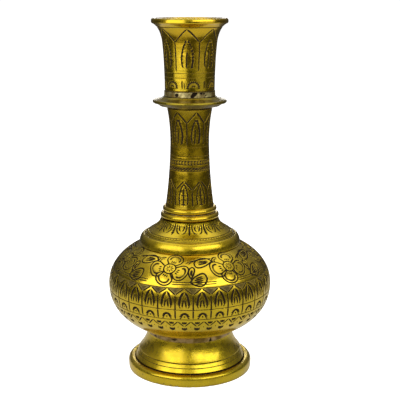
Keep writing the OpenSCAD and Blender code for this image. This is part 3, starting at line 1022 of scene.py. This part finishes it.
def brass(name, roughness, tarnish, turned_marks, gold=GOLD, olive=OLIVE):
    """Old lacquered brass: gold and olive patches, turning marks, tarnish, painted shade in the crevices from
    ambient occlusion, and dark patina in the cuts.
    """
    n = Nodes(name)
    broad = n.noise(16, 3)
    fine = n.noise(160, 6)
    blotch = n.noise(55, 5, rough=0.65)
    turning = n.noise(14, 6, stretch=(1, 1, 55), rough=0.7)
    scratches = n.noise(240, 3, stretch=(1, 0.12, 0.5))
    # The cut attribute also holds the darkening of the outline's inside corners.
    cuts = n.remap(n.attribute("cut"), 0.0, 0.12)
    stain = n.maths("MULTIPLY", n.attribute("stain"), n.remap(fine, 0.25, 0.7, 0.7, 1.0))
    colour = n.mix(n.remap(broad, 0.35, 0.65), gold, olive)
    colour = n.mix(n.remap(turning, 0.42, 0.75, 0.0, 0.45), colour, olive)
    dull = n.maths("MULTIPLY", n.remap(blotch, 0.5, 0.78), tarnish)
    colour = n.mix(dull, colour, TARNISH)
    # Painted shade: ambient occlusion darkens crevices, recesses and the parts under the flange disc towards a
    # dark soil colour, broken up by the blotch noise.
    corners = n.make("ShaderNodeAmbientOcclusion", samples=6)
    corners.inputs["Distance"].default_value = 0.005
    crevice_shade = n.remap(corners.outputs["AO"], 0.75, 0.25)
    darkening = n.maths("MULTIPLY", crevice_shade, n.remap(blotch, 0.3, 0.6, 0.5, 1.0))
    colour = n.mix(n.maths("MULTIPLY", darkening, 0.85), colour, SHADE_AND_SOIL)
    # Stains darken the colour towards grime; on the flange disc's underside this is painted shade under the
    # disc.
    colour = n.mix(n.maths("MULTIPLY", stain, 0.9), colour, GRIME_AND_SHADE)
    colour = n.mix(n.maths("MULTIPLY", cuts, 0.99), colour, PATINA)
    n.link(colour, n.shader.inputs["Base Color"])
    covered = n.maths("MAXIMUM", cuts, n.maths("MULTIPLY", stain, 0.6))
    metal = n.maths("SUBTRACT", 1.0, n.maths("MULTIPLY", covered, 0.95), True)
    n.link(metal, n.shader.inputs["Metallic"])
    n.shader.inputs["Specular IOR Level"].default_value = 0.12
    n.link(n.remap(cuts, 0.0, 0.5, 0.3, 0.0), n.shader.inputs["Coat Weight"])
    n.shader.inputs["Coat Roughness"].default_value = 0.14
    polish = n.remap(fine, 0.3, 0.8, roughness - 0.05, roughness + 0.12)
    rough = n.maths("ADD", polish, n.maths("MULTIPLY", dull, 0.25))
    rough = n.maths("ADD", rough, n.maths("MULTIPLY", n.maths("MAXIMUM", cuts, stain), 0.3), True)
    n.link(rough, n.shader.inputs["Roughness"])
    normal = n.bump(turning, turned_marks, 0.0003)
    normal = n.bump(scratches, 0.08, 0.0001, normal)
    normal = n.bump(blotch, 0.05, 0.0005, normal)
    n.link(normal, n.shader.inputs["Normal"])
    return n.material


def solder(name, pale, dark, metal):
    """Solder: pale grey metal with darker, rougher patches and a lumpy skin."""
    n = Nodes(name)
    lumps = n.noise(130, 5, rough=0.6)
    specks = n.noise(420, 3)
    colour = n.mix(n.remap(lumps, 0.38, 0.62), pale, dark)
    colour = n.mix(n.remap(specks, 0.56, 0.7, 0.0, 0.7), colour, TARNISH)
    colour = n.mix(n.remap(n.attribute("stain"), 0.05, 0.3), colour, PATINA)
    n.link(colour, n.shader.inputs["Base Color"])
    n.shader.inputs["Metallic"].default_value = metal
    n.link(n.remap(lumps, 0.3, 0.7, 0.32, 0.6), n.shader.inputs["Roughness"])
    n.link(n.bump(specks, 0.3, 0.0003, n.bump(lumps, 0.6, 0.0009)), n.shader.inputs["Normal"])
    return n.material


engraved_brass = brass("engraved_brass", 0.21, 0.3, 0.1)
neck_brass = brass("neck_brass", 0.24, 0.12, 0.12, (0.72, 0.46, 0.014), (0.56, 0.38, 0.01))
cup_brass = brass("cup_brass", 0.22, 0.12, 0.12, AMBER)
cast_brass = brass("turned_brass", 0.27, 0.3, 0.3, (0.80, 0.55, 0.02))
dull_brass = brass("dull_brass", 0.24, 0.4, 0.1, AMBER)
# The flange disc wears a darker copy of the brass, darker all over.
flange_brass = brass("flange_brass", 0.3, 0.5, 0.1, (0.46, 0.33, 0.02), (0.36, 0.27, 0.014))
tin_solder = solder("tin_solder", (0.74, 0.63, 0.27), (0.2, 0.145, 0.05), 0.85)
copper_braze = solder("pink_braze", (0.44, 0.3, 0.13), (0.2, 0.13, 0.03), 0.9)

# Each material, its slot in the record, and the nodes whose pieces wear it.
FINISHES = (
    (engraved_brass, "engraved_brass", ("upper_bulb", "lower_bulb")),
    (neck_brass, "engraved_brass", ("neck_tube",)),
    (cup_brass, "engraved_brass", ("mouth_cup",)),
    (cast_brass, "brass", ("foot", "shoulder_collar")),
    (dull_brass, "polished_brass", ("lower_ring", "upper_ring")),
    (flange_brass, "polished_brass", ("flange_disc",)),
    (tin_solder, "solder", ("cup_solder", "neck_solder", "flange_solder", "shoulder_solder")),
    (copper_braze, "solder", ("foot_solder", "seam_braze")),
)
for material, slot_name, names in FINISHES:
    for node_name in names:
        for thing in bpy.data.objects:
            if thing.type == "MESH" and (thing.name == node_name or thing.name.endswith("_" + node_name)):
                thing.data.materials.clear()
                thing.data.materials.append(material)


# ---------------------------------------------------------------- camera, floor and light

CAMERA_BACK = 0.720
CAMERA_UP = 0.298
CAMERA_PITCH = 12.53

camera_data = bpy.data.cameras.new("camera")
camera_data.lens = 83.5
camera_data.sensor_width = 36
camera_data.shift_x = 0.0257
camera = bpy.data.objects.new("camera", camera_data)
camera.location = (0, -CAMERA_BACK, CAMERA_UP)
camera.rotation_euler = (math.radians(90 - CAMERA_PITCH), 0, 0)
bpy.context.scene.collection.objects.link(camera)
bpy.context.scene.camera = camera
bpy.context.scene.view_settings.view_transform = "Standard"


def softbox(name, azimuth, distance, bottom, top, width, radiance):
    """An upright rectangular lamp that faces the vase's axis, at an azimuth in degrees from the front."""
    data = bpy.data.lights.new(name, "AREA")
    data.shape = "RECTANGLE"
    data.size = width
    data.size_y = top - bottom
    data.energy = radiance * math.pi * width * (top - bottom)
    lamp = bpy.data.objects.new(name, data)
    a = math.radians(azimuth)
    lamp.location = (distance * math.sin(a), -distance * math.cos(a), (top + bottom) / 2)
    lamp.rotation_euler = (math.radians(90), 0, a)
    lamp.visible_camera = False
    bpy.context.scene.collection.objects.link(lamp)


# Each lamp: its name, azimuth, distance, bottom, top, width and radiance.
for box in (
    ("softbox_left", -43, 0.42, 0.172, 0.60, 0.46, 1.75),
    ("softbox_right", 42, 0.60, 0.34, 0.78, 0.80, 2.2),
    ("backdrop", 180, 0.9, 0.27, 0.35, 0.4, 4.0),
    ("fill_right", 50, 0.42, 0.172, 0.30, 0.36, 0.48),
):
    softbox(*box)

overhead = bpy.data.lights.new("overhead", "AREA")
overhead.size = 1.8
overhead.energy = 0.68 * math.pi * overhead.size**2
overhead_lamp = bpy.data.objects.new("overhead", overhead)
overhead_lamp.location = (0, 0.35, 1.5)
overhead_lamp.visible_camera = False
bpy.context.scene.collection.objects.link(overhead_lamp)


def studio_piece(name, bm, n, glow):
    """A piece of the studio from a bmesh, in the material n, which glows white."""
    n.shader.inputs["Emission Color"].default_value = (1, 1, 1, 1)
    n.shader.inputs["Emission Strength"].default_value = glow
    mesh = bpy.data.meshes.new(name)
    bm.to_mesh(mesh)
    bm.free()
    mesh.materials.append(n.material)
    thing = bpy.data.objects.new(name, mesh)
    bpy.context.scene.collection.objects.link(thing)
    return thing


def paper_floor():
    """A wide sheet of white paper, finely divided round the vase."""
    bm = bmesh.new()
    around = 48
    angles = [TURN * k / around for k in range(around)]
    rows = [
        [bm.verts.new((radius * math.sin(a), radius * math.cos(a), 0)) for a in angles]
        for radius in (0.2, 0.5, 1.2, 3.0, 8.0, 20.0, 60.0)
    ]
    centre = bm.verts.new((0, 0, 0))
    for k in range(around):
        m = (k + 1) % around
        bm.faces.new((centre, rows[0][m], rows[0][k]))
        for low, high in zip(rows, rows[1:]):
            bm.faces.new((low[k], low[m], high[m], high[k]))
    n = Nodes("white_paper")
    n.link(n.mix(n.noise(40, 3), (0.9, 0.9, 0.9), (0.87, 0.87, 0.87)), n.shader.inputs["Base Color"])
    n.shader.inputs["Roughness"].default_value = 0.9
    sheet = studio_piece("paper_floor", bm, n, 0.93)
    sheet.visible_glossy = False


def white_backdrop():
    """A white dome that only the camera sees, so the paper has no far edge."""
    bm = bmesh.new()
    bmesh.ops.create_uvsphere(bm, u_segments=48, v_segments=24, radius=6)
    n = Nodes("backdrop_white")
    n.shader.inputs["Base Color"].default_value = (0, 0, 0, 1)
    dome = studio_piece("white_backdrop", bm, n, 1.05)
    dome.visible_diffuse = dome.visible_glossy = dome.visible_transmission = False
    dome.visible_shadow = dome.visible_volume_scatter = False


def table_glow():
    """What the brass sees of the lit table near it: a disc under the paper, hidden from the camera."""
    bm = bmesh.new()
    bmesh.ops.create_circle(bm, cap_ends=True, segments=96, radius=0.45)
    n = Nodes("table_light")
    n.shader.inputs["Base Color"].default_value = (0.3, 0.3, 0.3, 1)
    disc = studio_piece("table_glow", bm, n, 0.28)
    disc.location = (0, 0, -0.003)
    disc.visible_camera = False
    disc.visible_diffuse = False


def studio_world():
    """A dim studio: darkest at the height of the horizon, lighter overhead and a little lighter below."""
    world = bpy.data.worlds.new("studio")
    world.use_nodes = True
    tree = world.node_tree
    background = tree.nodes["Background"]
    place = tree.nodes.new("ShaderNodeTexCoord").outputs["Generated"]
    split = tree.nodes.new("ShaderNodeSeparateXYZ")
    tree.links.new(place, split.inputs[0])
    ramp = tree.nodes.new("ShaderNodeValToRGB")
    ramp.color_ramp.interpolation = "EASE"
    stops = ((0.0, 0.1), (0.4, 0.05), (0.5, 0.05), (0.7, 0.17), (1.0, 0.45))
    elements = ramp.color_ramp.elements
    while len(elements) < len(stops):
        elements.new(0.5)
    for element, (position, value) in zip(elements, stops):
        element.position = position
        element.color = (value, value, value, 1)
    half = tree.nodes.new("ShaderNodeMath")
    half.operation = "MULTIPLY_ADD"
    half.inputs[1].default_value = 0.5
    half.inputs[2].default_value = 0.5
    tree.links.new(split.outputs["Z"], half.inputs[0])
    tree.links.new(half.outputs[0], ramp.inputs[0])
    tree.links.new(ramp.outputs["Color"], background.inputs["Color"])
    background.inputs["Strength"].default_value = 1.0
    bpy.context.scene.world = world


paper_floor()
white_backdrop()
table_glow()
studio_world()
